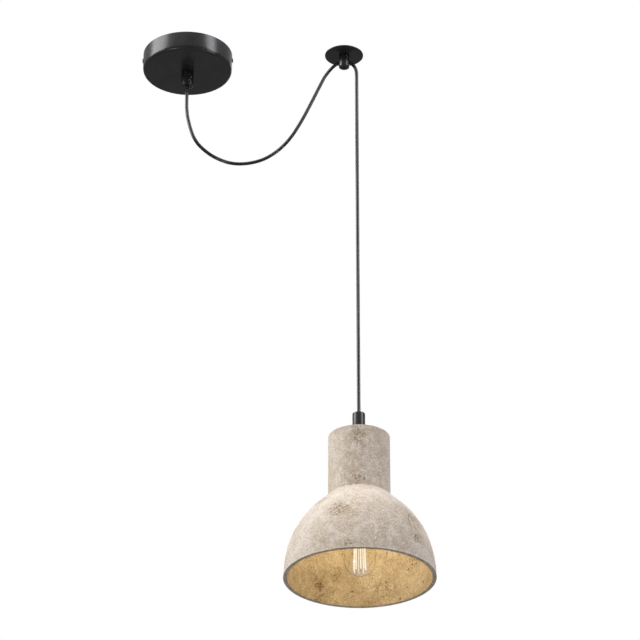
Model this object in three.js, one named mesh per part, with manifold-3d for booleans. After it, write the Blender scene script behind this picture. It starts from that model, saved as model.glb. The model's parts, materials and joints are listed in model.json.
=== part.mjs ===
// Pendant ceiling light: a concrete shade hangs on a cord that is swagged
// from a round canopy to a ceiling hook.
// Millimetres, +Z up, the ceiling is the plane z = 0. The origin is the middle
// of the canopy bracket's top face, and +X runs from the canopy to the hook.
import * as THREE from 'three';
import { mergeVertices } from 'three/addons/utils/BufferGeometryUtils.js';
import Module from 'manifold-3d';

const wasm = await Module();
wasm.setup();

// ---------------------------------------------------------------- driving dimensions
const GAP = 0.3; // between pieces that touch on the real object
const CORD_R = 2.3;
const CORD_BORE_R = 2.7;
const CONDUCTOR_R = 0.7;

const CANOPY_R = 60;
const CANOPY_H = 27.2;
const CANOPY_FILLET = 6;
const SHEET = 1.5; // canopy and bracket sheet
const CANOPY_GRIP_LENGTH = 20.7;

const HOOK_X = 211;
const DISC_R = 25.8;
const DISC_T = 1.2;
const POST_R = 7;
const POST_BOTTOM = -19.2;

const DROP_X = 227.8; // axis of the vertical drop and of the shade
const RIM_Z = -767;
const SHADE_R = 95;
const SHADE_H = 193;
const NECK_R = 39.35;
// Outside of the dome, as (radius, height above the rim), from the rim to the foot of the neck.
const DOME = [
  [SHADE_R, 0], [94.5, 12.1], [93, 24], [90.6, 35.7], [87.1, 46.9], [82.8, 57.5], [77.5, 67.3],
  [71.5, 76.5], [64.7, 85.1], [57.2, 92.9], [49.1, 100.4], [43.2, 106], [NECK_R, 109.8],
];
const WALL = 5;
const NECK_WALL = 6;
const TOP_PLATE = 8;
const SHADE_GRIP_TOP = -540.6;

const GRIP_R = 8.2;
const NIPPLE_R = 4.9; // M10 x 1
const NIPPLE_BORE_R = 3.4;
const NIPPLE_HOLE_R = 5.4; // hole that the nipple passes through
const NIPPLE_IN_GRIP = 8.7;
const SOCKET_DEPTH = 9; // threaded socket of a cord grip
const NUT_FLATS = 14;
const NUT_T = 3;

const HOLDER_TOP = -589.7;
const HOLDER_MOUTH = -650;
const HOLDER_R = 20;
const INSERT_TOP = -610;
const INSERT_BOTTOM = -620;

const BULB_R = 20;
const BULB_TIP = -624.4;
const BULB_CENTRE = -743.5; // middle of the round end
const GLASS_TOP = -650.6;
const GLASS_WALL = 1;
const FILAMENTS = 8;

// ---------------------------------------------------------------- materials
const finish = (color, roughness, metalness = 0) =>
  new THREE.MeshStandardMaterial({ color, roughness, metalness });
const blackPaint = () => finish('#2b2b2d', 0.45, 0.2);
const blackCord = () => finish('#1d1d20', 0.6);
const concrete = () => finish('#c9beb0', 0.9);
const zincSteel = () => finish('#b9bcc0', 0.35, 1);
const blackPlastic = () => finish('#1b1b1c', 0.5);
const brass = () => finish('#b08d4a', 0.35, 1);
const ceramic = () => finish('#e9e5da', 0.5);
const liveSleeve = () => finish('#5b3420', 0.55);
const neutralSleeve = () => finish('#2456a5', 0.55);
const glowingStrip = () => finish('#ffe9b8', 0.6);
const clearGlass = () => finish('#f4f2ee', 0.05);
const rubber = () => finish('#202020', 0.85);
const whitePlastic = () => finish('#ebe8e0', 0.5);

// ---------------------------------------------------------------- geometry helpers
// One closed skin with shared vertices, no zero-area triangles and its faces pointing out.
function closed(source) {
  const bare = new THREE.BufferGeometry();
  bare.setAttribute('position', source.getAttribute('position'));
  bare.setIndex(source.getIndex());
  const merged = mergeVertices(bare, 1e-4);
  const p = merged.getAttribute('position');
  const index = merged.getIndex().array;
  const kept = [];
  const corner = [new THREE.Vector3(), new THREE.Vector3(), new THREE.Vector3()];
  let volume = 0;
  for (let i = 0; i < index.length; i += 3) {
    const [a, b, c] = [index[i], index[i + 1], index[i + 2]];
    if (a === b || b === c || c === a) continue;
    kept.push(a, b, c);
    corner.forEach((v, k) => v.fromBufferAttribute(p, index[i + k]));
    volume += corner[0].dot(corner[1].clone().cross(corner[2]));
  }
  merged.setIndex(volume > 0 ? kept : kept.reverse());
  return merged;
}

function toSolid(geometry) {
  const g = closed(geometry);
  const vertProperties = new Float32Array(g.getAttribute('position').array);
  const triVerts = new Uint32Array(g.getIndex().array);
  return new wasm.Manifold(new wasm.Mesh({ numProp: 3, vertProperties, triVerts }));
}

function fromSolid(solid) {
  const mesh = solid.getMesh();
  const g = new THREE.BufferGeometry();
  g.setAttribute('position', new THREE.BufferAttribute(new Float32Array(mesh.vertProperties), 3));
  g.setIndex([...mesh.triVerts]);
  return g;
}

const cut = (base, ...tools) =>
  fromSolid(tools.reduce((solid, tool) => solid.subtract(toSolid(tool)), toSolid(base)));
const join = (base, ...others) =>
  fromSolid(others.reduce((solid, other) => solid.add(toSolid(other)), toSolid(base)));

// Points of an arc in the (radius, height) plane, angles in degrees.
function arc(r, z, radius, from, to, steps) {
  return Array.from({ length: steps + 1 }, (_, i) => {
    const a = THREE.MathUtils.degToRad(from + ((to - from) * i) / steps);
    return [r + radius * Math.cos(a), z + radius * Math.sin(a)];
  });
}

// Solid of revolution about the vertical line through x, from an outline of [radius, z] points.
// An outline that doesn't start and end on the axis is closed on itself.
function turned(outline, sides, x = 0) {
  const onAxis = outline[0][0] === 0 && outline.at(-1)[0] === 0;
  const loop = onAxis ? outline : [...outline, outline[0]];
  const g = new THREE.LatheGeometry(loop.map(([r, z]) => new THREE.Vector2(r, z)), sides);
  return closed(g.rotateX(Math.PI / 2).translate(x, 0, 0));
}

const rod = (radius, bottom, top, sides = 16, x = 0) =>
  turned([[0, bottom], [radius, bottom], [radius, top], [0, top]], sides, x);
const ring = (inner, outer, bottom, top, sides = 18, x = 0) =>
  turned([[inner, bottom], [outer, bottom], [outer, top], [inner, top]], sides, x);

// A rod that lies along +X or +Y from its start point.
function crossRod(radius, start, length, along, sides = 12) {
  const g = new THREE.CylinderGeometry(radius, radius, length, sides);
  if (along === 'x') g.rotateZ(Math.PI / 2).translate(length / 2, 0, 0);
  else g.translate(0, length / 2, 0);
  return closed(g.translate(...start));
}

function block(x, y, z) {
  const g = new THREE.BoxGeometry(x[1] - x[0], y[1] - y[0], z[1] - z[0]);
  return closed(g.translate((x[0] + x[1]) / 2, (y[0] + y[1]) / 2, (z[0] + z[1]) / 2));
}

function hexNut(holeRadius, bottom, height, x = 0) {
  const corner = (k) => {
    const r = NUT_FLATS / 2 / Math.cos(Math.PI / 6);
    return new THREE.Vector2(r * Math.cos((k * Math.PI) / 3), r * Math.sin((k * Math.PI) / 3));
  };
  const shape = new THREE.Shape([0, 1, 2, 3, 4, 5].map(corner));
  shape.holes.push(new THREE.Path().absarc(0, 0, holeRadius, 0, Math.PI * 2, true));
  const g = new THREE.ExtrudeGeometry(shape, { depth: height, bevelEnabled: false, curveSegments: 10 });
  return closed(g.translate(x, 0, bottom));
}

// A round tube along a smooth curve through the points, or along a straight line through two points.
function tube(points, radius, steps, sides = 8) {
  const v = points.map((p) => new THREE.Vector3(...p));
  const path = v.length === 2
    ? new THREE.LineCurve3(...v)
    : new THREE.CatmullRomCurve3(v, false, 'centripetal');
  const section = Array.from({ length: sides }, (_, i) => {
    const a = ((i + 0.5) * 2 * Math.PI) / sides;
    return new THREE.Vector2(radius * Math.cos(a), radius * Math.sin(a));
  });
  const options = { steps, bevelEnabled: false, extrudePath: path };
  return closed(new THREE.ExtrudeGeometry(new THREE.Shape(section), options));
}

const light = new THREE.Group();
function add(name, geometry, material, at = [0, 0, 0]) {
  const mesh = new THREE.Mesh(geometry, material);
  mesh.name = name;
  mesh.position.set(...at);
  light.add(mesh);
}

// ---------------------------------------------------------------- canopy: fixed to the ceiling
const TAB_X = 56.5; // outer face of the bracket's turned-down ends
const TAB_BOTTOM = -14;
const BRACKET_HALF_WIDTH = 9;
const SIDE_SCREW_Z = -8;
const SIDE_SHANK_LENGTH = 9;
const CEILING_SCREW_X = 43;
const EARTH_X = 24;
const BLOCK_X = [-34, -12];
const BLOCK_TOP = -1.8;
const BLOCK_BOTTOM = -15;
const BLOCK_HALF_WIDTH = 8.5;
const BLOCK_MID_X = (BLOCK_X[0] + BLOCK_X[1]) / 2;
const WAY_Y = [4.4, -4.4]; // the two ways through the terminal block
const WAY_Z = -8;
const TERMINAL_INSET = 5; // from the block's end to its screw
const SCREW_SLOT_R = 2.3; // half width of the slots that the screws pass through

function mountingBracket() {
  const bend = 1.2;
  const outline = [
    [-TAB_X, TAB_BOTTOM], [-TAB_X, -bend], [-TAB_X + bend, 0], [TAB_X - bend, 0], [TAB_X, -bend],
    [TAB_X, TAB_BOTTOM], [TAB_X - SHEET, TAB_BOTTOM], [TAB_X - SHEET, -SHEET],
    [-TAB_X + SHEET, -SHEET], [-TAB_X + SHEET, TAB_BOTTOM],
  ];
  const shape = new THREE.Shape(outline.map(([x, z]) => new THREE.Vector2(x, z)));
  const strip = new THREE.ExtrudeGeometry(shape, { depth: 2 * BRACKET_HALF_WIDTH, bevelEnabled: false });
  strip.rotateX(Math.PI / 2).translate(0, BRACKET_HALF_WIDTH, 0);
  const hole = (radius, x) => rod(radius, -2 * SHEET, SHEET, 12, x);
  const holes = [
    hole(2.1, EARTH_X),
    hole(2.4, BLOCK_MID_X),
    crossRod(SCREW_SLOT_R, [-TAB_X - 2, 0, SIDE_SCREW_Z], 6, 'x'),
    crossRod(SCREW_SLOT_R, [TAB_X - 4, 0, SIDE_SCREW_Z], 6, 'x'),
  ];
  const slotReach = 4; // from the slot's middle to the centre of its round end
  for (const side of [-1, 1]) {
    const x = side * CEILING_SCREW_X;
    const ends = [x - slotReach, x + slotReach];
    holes.push(hole(SCREW_SLOT_R, ends[0]), hole(SCREW_SLOT_R, ends[1]));
    holes.push(block(ends, [-SCREW_SLOT_R, SCREW_SLOT_R], [-2 * SHEET, SHEET]));
  }
  return cut(strip, ...holes);
}

// Pan-head wood screw pointing up through the bracket into the ceiling.
function ceilingScrew() {
  const head = -SHEET - GAP;
  const outline = [
    [0, head - 2.6], [2.2, head - 2.4], [3.6, head - 1.4], [4, head], [2, head], [2, 19], [0, 25],
  ];
  return turned(outline, 16);
}

// Side screw that holds the canopy cup; its shank lies along X and its thin head is outside the cup.
function sideScrew() {
  const head = SIDE_SHANK_LENGTH;
  const outline = [
    [0, 0], [1.9, 0], [1.9, head], [3.2, head], [3.2, head + 0.4], [2.7, head + 0.8], [0, head + 0.8],
  ];
  return turned(outline, 16).rotateY(Math.PI / 2);
}

const SCREW_SEAT_X = [BLOCK_X[0] + TERMINAL_INSET, BLOCK_X[1] - TERMINAL_INSET];
function terminalBlock() {
  const body = block(BLOCK_X, [-BLOCK_HALF_WIDTH, BLOCK_HALF_WIDTH], [BLOCK_BOTTOM, BLOCK_TOP]);
  const foot = rod(2, BLOCK_TOP - 1, -GAP, 12, BLOCK_MID_X);
  const wells = [];
  for (const y of WAY_Y) {
    wells.push(crossRod(1.6, [BLOCK_X[0] - 1, y, WAY_Z], BLOCK_X[1] - BLOCK_X[0] + 2, 'x', 10));
    for (const x of SCREW_SEAT_X) {
      wells.push(rod(2, BLOCK_BOTTOM - 1, WAY_Z, 12, x).translate(0, y, 0));
    }
  }
  const notch = block([BLOCK_X[0] - 1, BLOCK_X[1] + 1], [-1, 1], [BLOCK_BOTTOM - 1, BLOCK_BOTTOM + 3]);
  return cut(join(body, foot), notch, ...wells);
}

// Cheese-head terminal screw, head down, standing on z = 0 with its slot underneath.
function terminalScrew() {
  return cut(rod(1.6, 0, 4.4, 12), block([-2, 2], [-0.3, 0.3], [-1, 0.8]));
}

function earthScrew() {
  const head = -SHEET - GAP;
  return turned([
    [0, head - 2.4], [3.4, head - 2.4], [3.6, head - 2], [3.6, head], [1.7, head], [1.7, -0.2], [0, -0.2],
  ], 14, EARTH_X);
}

add('mounting_bracket', mountingBracket(), zincSteel());
add('bracket_screw_left', ceilingScrew(), zincSteel(), [-CEILING_SCREW_X, 0, 0]);
add('bracket_screw_right', ceilingScrew(), zincSteel(), [CEILING_SCREW_X, 0, 0]);
const sideShankStart = CANOPY_R + GAP - SIDE_SHANK_LENGTH; // the head clears the cup's wall
add('side_screw_right', sideScrew(), blackPaint(), [sideShankStart, 0, SIDE_SCREW_Z]);
add('side_screw_left', sideScrew().rotateZ(Math.PI), blackPaint(), [-sideShankStart, 0, SIDE_SCREW_Z]);
add('terminal_block', terminalBlock(), whitePlastic());
const screwSeats = WAY_Y.flatMap((y) => SCREW_SEAT_X.map((x) => [x, y]));
screwSeats.forEach(([x, y], i) =>
  add(`terminal_screw_${i + 1}`, terminalScrew(), brass(), [x, y, BLOCK_BOTTOM + 0.8]));
add('earth_screw', earthScrew(), brass());

// ---------------------------------------------------------------- canopy: the cup and what moves with it
function canopyCup() {
  const edge = CANOPY_R - CANOPY_FILLET;
  const top = -GAP;
  const floor = -CANOPY_H;
  const outline = [
    [NIPPLE_HOLE_R, floor],
    ...arc(edge, floor + CANOPY_FILLET, CANOPY_FILLET, -90, 0, 4),
    [CANOPY_R, top],
    [CANOPY_R - SHEET, top],
    ...arc(edge, floor + CANOPY_FILLET, CANOPY_FILLET - SHEET, 0, -90, 3),
    [NIPPLE_HOLE_R, floor + SHEET],
  ];
  const slots = [-1, 1].flatMap((side) => {
    const x = side * CANOPY_R;
    return [
      crossRod(SCREW_SLOT_R, [x - 3, 0, SIDE_SCREW_Z], 6, 'x'),
      block([x - 3, x + 3], [-SCREW_SLOT_R, SCREW_SLOT_R], [SIDE_SCREW_Z, 2]),
    ];
  });
  return cut(turned(outline, 48), ...slots);
}

// Round cord grip between two heights; socketEnd is the end that screws onto the nipple.
// The grub screw's hole is on the side that faces +Y.
function cordGrip(bottom, top, socketEnd, screwZ, x) {
  const chamfer = 0.8;
  const outline = socketEnd === 'top'
    ? [[CORD_BORE_R, bottom], [GRIP_R - chamfer, bottom], [GRIP_R, bottom + chamfer], [GRIP_R, top],
      [NIPPLE_R + GAP, top], [NIPPLE_R + GAP, top - SOCKET_DEPTH], [CORD_BORE_R, top - SOCKET_DEPTH]]
    : [[NIPPLE_R + GAP, bottom], [GRIP_R, bottom], [GRIP_R, top - chamfer], [GRIP_R - chamfer, top],
      [CORD_BORE_R, top], [CORD_BORE_R, bottom + SOCKET_DEPTH], [NIPPLE_R + GAP, bottom + SOCKET_DEPTH]];
  return cut(turned(outline, 20, x), crossRod(2, [x, 0.5, screwZ], GRIP_R + 1, 'y', 10));
}

const gripScrew = (z, x) => crossRod(1.7, [x, CORD_R + GAP, z], GRIP_R - CORD_R - 0.9, 'y');

const canopyGripTop = -CANOPY_H - GAP;
const canopyGripBottom = canopyGripTop - CANOPY_GRIP_LENGTH;
const canopyNutBottom = -CANOPY_H + SHEET + 1.6;
const CANOPY_NIPPLE_TOP = -20;
const CANOPY_GRIP_SCREW_Z = -41;
const canopyNippleBottom = canopyGripTop - NIPPLE_IN_GRIP;
add('canopy_cup', canopyCup(), blackPaint());
add('canopy_nipple', ring(NIPPLE_BORE_R, NIPPLE_R, canopyNippleBottom, CANOPY_NIPPLE_TOP, 16), zincSteel());
add('canopy_washer', ring(NIPPLE_HOLE_R, 10, -CANOPY_H + SHEET + GAP, canopyNutBottom - GAP), zincSteel());
add('canopy_nut', hexNut(NIPPLE_R + GAP, canopyNutBottom, NUT_T), zincSteel());
add('canopy_cord_grip', cordGrip(canopyGripBottom, canopyGripTop, 'top', CANOPY_GRIP_SCREW_Z, 0),
  blackPaint());
add('canopy_grip_screw', gripScrew(CANOPY_GRIP_SCREW_Z, 0), blackPlastic());

// ---------------------------------------------------------------- hook
const STUD_HOLE_R = 2.8;
const STUD_HOLE_END = -7.2;
const HOOK_SLOT = [-7.9, -15.7]; // top and bottom of the cord's slot
const CLAMP_HOLE_R = 3;
const CLAMP_SCREW = [-18.9, -13.6]; // bottom and top of the screw that pinches the cord

function hookPost() {
  const top = -DISC_T - GAP;
  const round = 0.4;
  const outline = [
    [0, POST_BOTTOM],
    ...arc(POST_R - round, POST_BOTTOM + round, round, -90, 0, 3),
    [POST_R, top],
    [STUD_HOLE_R, top],
    [STUD_HOLE_R, STUD_HOLE_END],
    [0, STUD_HOLE_END],
  ];
  const slotRadius = CORD_BORE_R;
  const slot = [HOOK_SLOT[0] - slotRadius, HOOK_SLOT[1] + slotRadius]; // centres of its round ends
  const start = HOOK_X - POST_R - 1;
  const length = 2 * POST_R + 2;
  return cut(
    turned(outline, 24, HOOK_X),
    crossRod(slotRadius, [start, 0, slot[0]], length, 'x'),
    crossRod(slotRadius, [start, 0, slot[1]], length, 'x'),
    block([start, start + length], [-slotRadius, slotRadius], [slot[1], slot[0]]),
    rod(CLAMP_HOLE_R, POST_BOTTOM - 1, CLAMP_SCREW[1] + 0.1, 16, HOOK_X),
  );
}

// Pointed stud from inside the post up into the ceiling.
function hookStud() {
  const foot = STUD_HOLE_END + 0.4;
  const radius = STUD_HOLE_R - 0.4;
  return turned([[0, foot], [radius, foot], [radius, 10], [0, 15]], 16, HOOK_X);
}

function clampScrew() {
  const body = rod(CLAMP_HOLE_R - GAP, ...CLAMP_SCREW, 16, HOOK_X);
  const socket = new THREE.CylinderGeometry(1.5, 1.5, 5, 6).rotateX(Math.PI / 2);
  socket.translate(HOOK_X, 0, CLAMP_SCREW[0]);
  return cut(body, socket);
}

add('hook_disc', ring(STUD_HOLE_R, DISC_R, -DISC_T, 0, 48, HOOK_X), blackPaint());
add('hook_post', hookPost(), blackPaint());
add('hook_stud', hookStud(), zincSteel());
add('hook_clamp_screw', clampScrew(), blackPaint());

// ---------------------------------------------------------------- the cord
// From the canopy grip down, round the low swag, up to the hook, through its slot and over into the drop.
const SWAG_ROUTE = [
  [0, canopyGripBottom - GAP], [-0.1, -60], [-0.2, -72], [0.1, -84], [1.4, -96], [3.8, -107.5], [6.8, -119],
  [10.6, -129.5], [16.2, -139.3], [24, -148.2], [34, -156.8], [45, -163.5], [57, -168.3], [69, -170.3],
  [81, -169.8], [93, -167.3], [104.5, -162.8], [115, -156.2], [125, -147.6], [134.3, -137], [142.5, -125],
  [150, -111.5], [157.2, -97], [164.2, -81.5], [171.2, -65.5], [178.2, -49.3], [185, -34.4], [191, -25],
  [197.2, -17.6], [204.3, -12.2], [211, -10.6], [217.9, -11.9], [223, -15.6], [226.2, -21],
  [227.6, -27], [DROP_X, -32.3],
];
// The cord bends freely where it leaves the hook.
// Its pivots lie in two gaps, wide enough for the cut ends to tilt.
const SWING_GAP = 1.3;
const FIRST_PIVOT = -33;
const SECOND_PIVOT = -60;
const canopySheathTop = -16;
const holderSheathEnd = -599;

const swag = SWAG_ROUTE.map(([x, z]) => [x, 0, z]);
const straight = (top, bottom, steps) => tube([[DROP_X, 0, top], [DROP_X, 0, bottom]], CORD_R, steps);
add('cord_swag', tube(swag, CORD_R, 52), blackCord());
add('cord_top', straight(FIRST_PIVOT - SWING_GAP / 2, SECOND_PIVOT + SWING_GAP / 2, 2), blackCord());
add('cord_drop', straight(SECOND_PIVOT - SWING_GAP / 2, SHADE_GRIP_TOP + GAP, 12), blackCord());
add('cord_end_canopy', tube([[0, 0, canopyGripBottom], [0, 0, canopySheathTop]], CORD_R, 2), blackCord());
add('cord_end_holder', straight(SHADE_GRIP_TOP, holderSheathEnd, 3), blackCord());

// Two conductors leave each end of the sheath side by side.
function canopyConductor(side) {
  const y = side * WAY_Y[0];
  const start = canopySheathTop + GAP;
  return tube([[0, side * 0.85, start], [-0.6, side * 1.1, start + 2.6], [-3.4, side * 2.4, start + 6],
    [-8, y, WAY_Z], [BLOCK_X[1] - 3, y, WAY_Z]], CONDUCTOR_R, 10, 6);
}
function holderConductor(side) {
  const start = holderSheathEnd - GAP;
  const route = [[0.85, start], [1.4, start - 3], [4.2, start - 6.4], [5.4, INSERT_TOP + GAP]];
  return tube(route.map(([y, z]) => [DROP_X, side * y, z]), CONDUCTOR_R, 8, 6);
}
add('wire_live_canopy', canopyConductor(1), liveSleeve());
add('wire_neutral_canopy', canopyConductor(-1), neutralSleeve());
add('wire_live_holder', holderConductor(1), liveSleeve());
add('wire_neutral_holder', holderConductor(-1), neutralSleeve());

// ---------------------------------------------------------------- shade
// The dome's inside: each point of the outside set in by the wall, then a last one at the neck's inside.
function domeInside() {
  const points = DOME.slice(0, -1).map(([r, z], i) => {
    const [lastR, lastZ] = DOME[Math.max(0, i - 1)];
    const [nextR, nextZ] = DOME[i + 1];
    const length = Math.hypot(nextR - lastR, nextZ - lastZ);
    return [r - (WALL * (nextZ - lastZ)) / length, z - (WALL * (lastR - nextR)) / length];
  });
  points[0] = [SHADE_R - WALL, 0];
  return [...points, [NECK_R - NECK_WALL, DOME.at(-1)[1] - 1]];
}

function concreteShade() {
  const top = RIM_Z + SHADE_H;
  const edge = 0.7;
  const above = ([r, z]) => [r, RIM_Z + z];
  const outline = [
    ...DOME.map(above),
    ...arc(NECK_R - edge, top - edge, edge, 0, 90, 2),
    [NIPPLE_HOLE_R, top],
    [NIPPLE_HOLE_R, top - TOP_PLATE],
    [NECK_R - NECK_WALL, top - TOP_PLATE],
    ...domeInside().reverse().map(above),
  ];
  return turned(outline, 40, DROP_X);
}

const shadeTop = RIM_Z + SHADE_H;
const underPlate = shadeTop - TOP_PLATE;
const SEAT_T = 1.5; // rubber washer under the top plate, and the painted one above it
const CLAMP_T = 1.2;
const nutTop = underPlate - SEAT_T - CLAMP_T - 3 * GAP;
add('concrete_shade', concreteShade(), concrete());
const washer = (outer, bottom, thickness) =>
  ring(NIPPLE_HOLE_R, outer, bottom, bottom + thickness, 20, DROP_X);
add('shade_top_washer', washer(13, shadeTop + GAP, SEAT_T), blackPaint());
add('shade_seat_washer', washer(16, underPlate - GAP - SEAT_T, SEAT_T), rubber());
add('shade_clamp_washer', washer(15, nutTop + GAP, CLAMP_T), zincSteel());
add('shade_nut', hexNut(NIPPLE_R + GAP, nutTop - NUT_T, NUT_T, DROP_X), zincSteel());
const shadeGripBottom = shadeTop + SEAT_T + 2 * GAP;
const shadeNippleTop = shadeGripBottom + NIPPLE_IN_GRIP;
const shadeNippleBottom = HOLDER_TOP - 6.9;
const shadeGripScrewZ = SHADE_GRIP_TOP - 9.4;
add('shade_nipple', ring(NIPPLE_BORE_R, NIPPLE_R, shadeNippleBottom, shadeNippleTop, 16, DROP_X),
  zincSteel());
add('shade_cord_grip', cordGrip(shadeGripBottom, SHADE_GRIP_TOP, 'bottom', shadeGripScrewZ, DROP_X),
  blackPaint());
add('shade_grip_screw', gripScrew(shadeGripScrewZ, DROP_X), blackPlastic());

// ---------------------------------------------------------------- lampholder
const HOLDER_WALL = 2;
const HOLDER_SKIRT = -607.6; // lower edge of the cap, where the body starts
const SHELL_TOP = -621;
const SHELL_BOTTOM = -648.5;

function lampholderCap() {
  const wall = HOLDER_WALL;
  const skirt = HOLDER_SKIRT;
  const outline = [
    [NIPPLE_R + GAP, HOLDER_TOP], [9, HOLDER_TOP], [10, HOLDER_TOP - 1], [10.4, HOLDER_TOP - 5],
    ...arc(12.5, skirt, 7.5, 75, 0, 4),
    [HOLDER_R - wall, skirt],
    ...arc(12.5, skirt, 7.5 - wall, 0, 75, 3),
    [NIPPLE_R + GAP, HOLDER_TOP - 8.2],
  ];
  return turned(outline, 24, DROP_X);
}

function lampholderBody() {
  const top = HOLDER_SKIRT - GAP;
  const mouthR = 16.5;
  const innerR = HOLDER_R - HOLDER_WALL;
  const outline = [
    [HOLDER_R - 0.4, top], [HOLDER_R, top - 8], [HOLDER_R + 0.3, HOLDER_MOUTH + 1.5],
    [HOLDER_R - 0.6, HOLDER_MOUTH], [mouthR, HOLDER_MOUTH], [mouthR, SHELL_TOP - 3],
    [innerR, SHELL_TOP - 1], [innerR, top],
  ];
  return turned(outline, 24, DROP_X);
}

// The insert carries the contacts; its two screw holes lie on the Y line.
const HOLDER_SCREW_Y = 9.5;
function lampholderInsert() {
  const hole = (side) =>
    rod(1.7, INSERT_TOP - 7, INSERT_TOP + 1, 10, DROP_X).translate(0, side * HOLDER_SCREW_Y, 0);
  return cut(rod(HOLDER_R - 2.4, INSERT_BOTTOM, INSERT_TOP, 24, DROP_X), hole(-1), hole(1));
}

function holderScrew() {
  return turned([
    [0, INSERT_TOP - 6], [1.4, INSERT_TOP - 6], [1.4, INSERT_TOP + GAP], [2.6, INSERT_TOP + GAP],
    [2.6, INSERT_TOP + 2], [0, INSERT_TOP + 2],
  ], 12, DROP_X);
}

// A springy tongue that presses on the bulb's tip.
function centreContact() {
  const top = INSERT_BOTTOM - GAP;
  const side = [
    [-6, top], [-6, top - 0.5], [-3.4, top - 0.6], [-1.6, top - 3.2],
    [1.6, top - 3.4], [2.2, top - 2.9], [-1.2, top - 2.6], [-2.9, top],
  ];
  const shape = new THREE.Shape(side.map(([x, z]) => new THREE.Vector2(x, z)));
  const strip = new THREE.ExtrudeGeometry(shape, { depth: 4, bevelEnabled: false });
  return closed(strip.rotateX(Math.PI / 2).translate(DROP_X, 2, 0));
}

add('lampholder_cap', lampholderCap(), blackPlastic());
add('lampholder_body', lampholderBody(), blackPlastic());
add('lampholder_insert', lampholderInsert(), ceramic());
add('lampholder_thread_shell', ring(13.8, 14.4, SHELL_BOTTOM, SHELL_TOP, 28, DROP_X), brass());
add('lampholder_centre_contact', centreContact(), brass());
add('holder_screw_live', holderScrew(), brass(), [0, HOLDER_SCREW_Y, 0]);
add('holder_screw_neutral', holderScrew(), brass(), [0, -HOLDER_SCREW_Y, 0]);

// ---------------------------------------------------------------- bulb
const CAP_R = 13.1; // E27
const capTop = BULB_TIP - 4.6;
const capBottom = BULB_TIP - 26.5;

// Pear shape: a narrow neck that widens down to the round end.
function bulbGlass() {
  const neck = 12;
  const side = [
    [neck, GLASS_TOP], [neck + 0.3, -658], [13.4, -671], [15.6, -688], [18, -706], [19.5, -722], [BULB_R, -736],
  ];
  const inset = side.map(([r, z]) => [r - GLASS_WALL, z]);
  const outer = [...side, ...arc(0, BULB_CENTRE, BULB_R, 0, -90, 7)];
  const inner = [...arc(0, BULB_CENTRE, BULB_R - GLASS_WALL, -90, 0, 7), ...inset.reverse()];
  const onAxis = (r) => (Math.abs(r) < 1e-6 ? 0 : r);
  return turned([...outer, ...inner].map(([r, z]) => [onAxis(r), z]), 24, DROP_X);
}

function bulbScrewCap() {
  const wall = 0.5;
  const outline = [
    [8.5, capTop], [CAP_R - 1, capTop - 2], [CAP_R, capTop - 3], [CAP_R, capBottom],
    [CAP_R - wall, capBottom], [CAP_R - wall, capTop - 3.2], [8.5, capTop - wall],
  ];
  return turned(outline, 24, DROP_X);
}

const bulbInsulator = () => turned([
  [3.2, BULB_TIP - 1.6], [5.5, BULB_TIP - 1.8], [8.2, capTop - 0.2], [3.2, capTop - 0.2],
], 18, DROP_X);
const bulbTipContact = () => turned([
  [0, BULB_TIP - 3], [2.8, BULB_TIP - 3], [2.8, BULB_TIP - 1], [1.8, BULB_TIP - 0.2], [0, BULB_TIP],
], 14, DROP_X);

const CAGE_TOP = -672;
const CAGE_BOTTOM = -757.4;
const CAGE_TOP_R = 4.8;
const CAGE_BOTTOM_R = 8;
const CAGE_TURN = THREE.MathUtils.degToRad(10);
const STEM_R = 1.4;

// Glass foot inside the bulb's neck, with the long rod that the support rings are fixed to.
function bulbStem() {
  const foot = GLASS_TOP - 2;
  const tip = CAGE_BOTTOM + 2.4;
  const outline = [
    [0, foot], [8.5, foot], [8.2, foot - 2], [4, foot - 10], [STEM_R, foot - 14], [STEM_R, tip], [0, tip],
  ];
  return turned(outline, 14, DROP_X);
}

// A wire ring with three spokes to a hub that clears the glass rod.
function supportRing(radius, z) {
  const wire = 0.4;
  const hoop = turned(arc(radius, z, wire, 0, 270, 3), 18, DROP_X);
  const hub = ring(STEM_R + GAP, 2.5, z - 0.6, z + 0.6, 10, DROP_X);
  const reach = 2.1; // where a spoke starts, inside the hub
  const spokes = [0, 1, 2].map((k) => {
    const spoke = new THREE.CylinderGeometry(0.3, 0.3, radius - reach, 6).rotateZ(Math.PI / 2);
    return spoke.translate((radius + reach) / 2, 0, 0).rotateZ((k * 2 * Math.PI) / 3).translate(DROP_X, 0, z);
  });
  return join(hoop, hub, ...spokes);
}

// One strip of the slightly conical cage: narrow at the top, wide at the bottom.
function filament(k) {
  const drop = CAGE_TOP - CAGE_BOTTOM;
  const spread = CAGE_BOTTOM_R - CAGE_TOP_R;
  const length = Math.hypot(drop, spread);
  const lean = Math.atan2(spread, drop);
  const strip = new THREE.BoxGeometry(0.9, 1.5, length).rotateY(-lean);
  strip.translate((CAGE_TOP_R + CAGE_BOTTOM_R) / 2, 0, (CAGE_TOP + CAGE_BOTTOM) / 2);
  return closed(strip.rotateZ(CAGE_TURN + (k * 2 * Math.PI) / FILAMENTS).translate(DROP_X, 0, 0));
}

add('bulb_glass', bulbGlass(), clearGlass());
add('bulb_screw_cap', bulbScrewCap(), zincSteel());
add('bulb_insulator', bulbInsulator(), blackPlastic());
add('bulb_tip_contact', bulbTipContact(), brass());
add('bulb_stem', bulbStem(), clearGlass());
add('bulb_upper_ring', supportRing(CAGE_TOP_R, CAGE_TOP + 0.9), zincSteel());
add('bulb_lower_ring', supportRing(CAGE_BOTTOM_R, CAGE_BOTTOM - 0.9), zincSteel());
for (let k = 0; k < FILAMENTS; k += 1) add(`bulb_filament_${k + 1}`, filament(k), glowingStrip());

export default light;
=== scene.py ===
"""Looks of a pendant light: a concrete shade on a black cord, swagged from a canopy to a ceiling hook."""
import json
import math

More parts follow.
